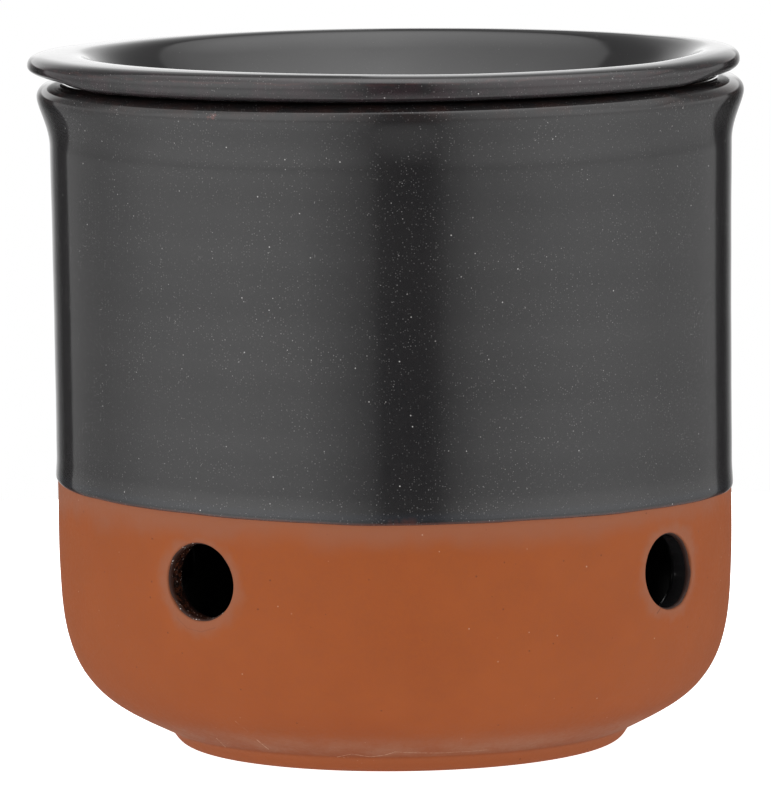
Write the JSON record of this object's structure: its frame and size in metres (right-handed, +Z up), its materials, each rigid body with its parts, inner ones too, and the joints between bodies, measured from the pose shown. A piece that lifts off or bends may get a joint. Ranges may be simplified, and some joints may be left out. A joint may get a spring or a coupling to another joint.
{
  "type": "garlic keeper",
  "caption": "Round ceramic jar with vent holes low in its wall, a flared lip and a loose dish-shaped lid, for keeping garlic dry and aired.",
  "frame": {"origin": "centre of the foot ring at the surface that the jar stands on", "axes": "+Z up along the axis that the jar was turned on; -Y is the front, midway between two vent holes; +X to the right seen from the front"},
  "size_m": [0.1306, 0.1306, 0.1273],
  "materials": {
    "jar_clay": "matt bare terracotta, slightly darker and greyer just under the glaze and round the vent holes",
    "jar_glaze": "glossy charcoal glaze with many fine pale speckles, breaking reddish brown where it is thin on the lip",
    "liner_glaze": "dark gloss liner glaze",
    "lid_clay": "matt bare terracotta",
    "lid_glaze": "glossy charcoal glaze with many fine pale speckles, breaking reddish brown where it is thin on the rim"
  },
  "bodies": {
    "jar": {"jar_body": "jar_clay", "jar_outer_glaze": "jar_glaze", "jar_liner_glaze": "liner_glaze"},
    "lid": {"lid_body": "lid_clay", "lid_glaze": "lid_glaze"}
  },
  "joints": [
    {"name": "lid_lift", "type": "slide", "parent": "jar", "child": "lid", "axis": [0, 0, 1], "range_m": [0, 0.08]}
  ]
}
